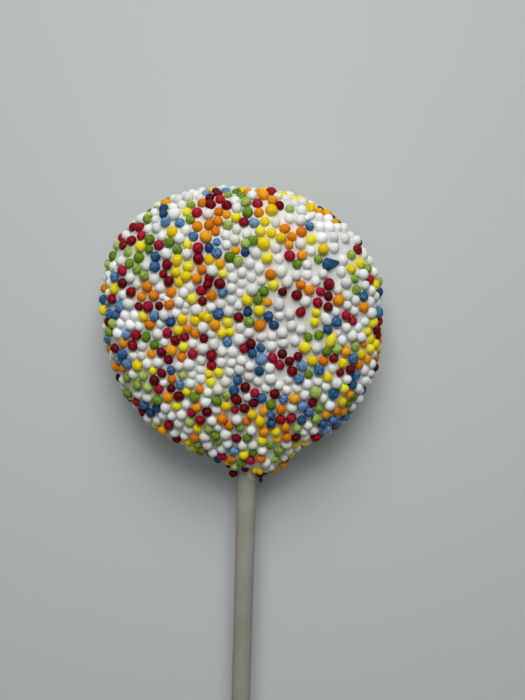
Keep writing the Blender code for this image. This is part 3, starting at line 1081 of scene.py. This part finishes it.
class CAKEPOP_OT_roll_stick(bpy.types.Operator):
    """Rolls the paper stick: a round bar with the step of its last turn along it and worn ends"""

    bl_idname = "cakepop.roll_stick"
    bl_label = "Roll the Stick"

    def execute(self, context):
        settings = context.scene.paper_stick
        start_afresh()
        bpy.ops.mesh.primitive_cylinder_add(vertices=STICK_SIDES, radius=STICK_RADIUS, depth=STICK_LENGTH)
        stick = context.object
        edge = stick.modifiers.new("worn edge", "BEVEL")
        edge.width = STICK_EDGE
        edge.segments = STICK_EDGE_STEPS
        edge.limit_method = "ANGLE"
        edge.angle_limit = STICK_EDGE_ANGLE
        bpy.ops.object.modifier_apply(modifier=edge.name)
        points = corners_of(stick)
        turn = np.arctan2(points[:, 1], points[:, 0]) / (2 * math.pi) % 1
        points[:, :2] *= (1 - settings.sheet / STICK_RADIUS * turn)[:, None]
        stick.data.vertices.foreach_set("co", points.ravel())
        stick.data.transform(along_stick(STICK_INNER_END - STICK_LENGTH / 2))
        finished(stick, "paper_stick", paper_material())
        bpy.ops.object.shade_smooth_by_angle(angle=SHARP_ANGLE)
        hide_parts("stick")
        return {"FINISHED"}


def camera_place():
    """Where the camera stands and how it is turned, over the shown face of the lying cake."""
    look = Vector((0, math.sin(CAMERA_TILT), math.cos(CAMERA_TILT)))
    side = Vector((1, 0, 0))
    up = look.cross(side)
    cosine = math.cos(CAMERA_ROLL)
    sine = math.sin(CAMERA_ROLL)
    right = side * cosine + up * sine
    above = up * cosine - side * sine
    aim = right * AIM_ACROSS + above * AIM_ALONG
    aim -= look * (aim.z / look.z)
    turn = Matrix((right, above, look)).transposed().to_4x4()
    return POSE @ Matrix.Translation(aim + look * CAMERA_DISTANCE) @ turn


def add_light(name, place, target, size, power, spread=math.pi):
    """A square soft light that faces a target."""
    light = bpy.data.lights.new(name, "AREA")
    light.size = size
    light.energy = power
    light.spread = spread
    lamp = bpy.data.objects.new(name, light)
    way = Vector(target) - Vector(place)
    lamp.matrix_world = Matrix.Translation(place) @ way.to_track_quat("-Z", "Y").to_matrix().to_4x4()
    bpy.context.scene.collection.objects.link(lamp)


def set_surroundings(tree, strength, backdrop):
    """An even light from all round, and a paler backdrop where it is seen past the floor."""
    sky = tree.nodes["Background"]
    sky.inputs["Color"].default_value = SKY_COLOUR
    sky.inputs["Strength"].default_value = strength
    seen = add_node(tree, "ShaderNodeBackground", Color=SKY_COLOUR, Strength=backdrop)
    path = tree.nodes.new("ShaderNodeLightPath")
    mix = tree.nodes.new("ShaderNodeMixShader")
    feed(tree, path.outputs["Is Camera Ray"], mix.inputs["Fac"])
    feed(tree, sky.outputs["Background"], mix.inputs[1])
    feed(tree, seen.outputs["Background"], mix.inputs[2])
    feed(tree, mix.outputs["Shader"], tree.nodes["World Output"].inputs["Surface"])


class CAKEPOP_OT_set_stage(bpy.types.Operator):
    """Sets the plain floor, the soft studio light and the camera"""

    bl_idname = "cakepop.set_stage"
    bl_label = "Set the Stage"

    def execute(self, context):
        scene = context.scene
        settings = scene.stage
        start_afresh()
        bpy.ops.mesh.primitive_circle_add(vertices=FLOOR_SIDES, radius=FLOOR_RADIUS, fill_type="NGON")
        floor = context.object
        floor.name = "floor"
        floor.data.materials.append(floor_material(settings.floor))
        add_light("main light", KEY_PLACE, KEY_AIM, KEY_SIZE, settings.key_power, settings.key_spread)
        add_light("near light", NEAR_PLACE, KEY_AIM, NEAR_SIZE, settings.near_power, NEAR_SPREAD)
        add_light("fill light", FILL_PLACE, (0, 0, 0), FILL_SIZE, settings.fill_power)
        scene.world = bpy.data.worlds.new("surroundings")
        scene.world.use_nodes = True
        set_surroundings(scene.world.node_tree, settings.surroundings, settings.backdrop)
        scene.view_settings.view_transform = "Standard"
        camera = bpy.data.cameras.new("camera")
        camera.lens = CAMERA_LENS
        camera.clip_start = CAMERA_NEAREST
        viewer = bpy.data.objects.new("camera", camera)
        scene.collection.objects.link(viewer)
        viewer.matrix_world = camera_place()
        scene.camera = viewer
        return {"FINISHED"}


class CAKEPOP_PT_panel(bpy.types.Panel):
    """Lists the steps that make the cake pop"""

    bl_label = "Cake Pop"
    bl_idname = "CAKEPOP_PT_panel"
    bl_space_type = "VIEW_3D"
    bl_region_type = "UI"
    bl_category = "Cake Pop"

    def draw(self, context):
        for settings, steps in PANEL_ROWS:
            column = self.layout.column()
            for name in getattr(context.scene, settings).bl_rna.properties.keys():
                if name not in ("rna_type", "name"):
                    column.prop(getattr(context.scene, settings), name)
            for step in steps:
                column.operator(step.bl_idname)


PANEL_ROWS = (
    ("icing", (CAKEPOP_OT_ice_cake, CAKEPOP_OT_ice_neck)),
    ("sugar_beads", (CAKEPOP_OT_sow_beads,)),
    ("paper_stick", (CAKEPOP_OT_roll_stick,)),
    ("stage", (CAKEPOP_OT_set_stage,)),
)
SETTINGS = {
    "icing": IcingSettings,
    "sugar_beads": BeadSettings,
    "paper_stick": StickSettings,
    "stage": StageSettings,
}
CLASSES = (
    *SETTINGS.values(),
    CAKEPOP_OT_ice_cake,
    CAKEPOP_OT_ice_neck,
    CAKEPOP_OT_sow_beads,
    CAKEPOP_OT_roll_stick,
    CAKEPOP_OT_set_stage,
    CAKEPOP_PT_panel,
)


def register():
    for made in CLASSES:
        bpy.utils.register_class(made)
    for name, group in SETTINGS.items():
        setattr(bpy.types.Scene, name, bpy.props.PointerProperty(type=group))


def unregister():
    for name in SETTINGS:
        delattr(bpy.types.Scene, name)
    for made in reversed(CLASSES):
        bpy.utils.unregister_class(made)


def main():
    register()
    bpy.ops.cakepop.ice_cake()
    bpy.ops.cakepop.ice_neck()
    bpy.ops.cakepop.sow_beads()
    bpy.ops.cakepop.roll_stick()
    bpy.ops.cakepop.set_stage()
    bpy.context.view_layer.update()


if __name__ == "__main__":
    main()
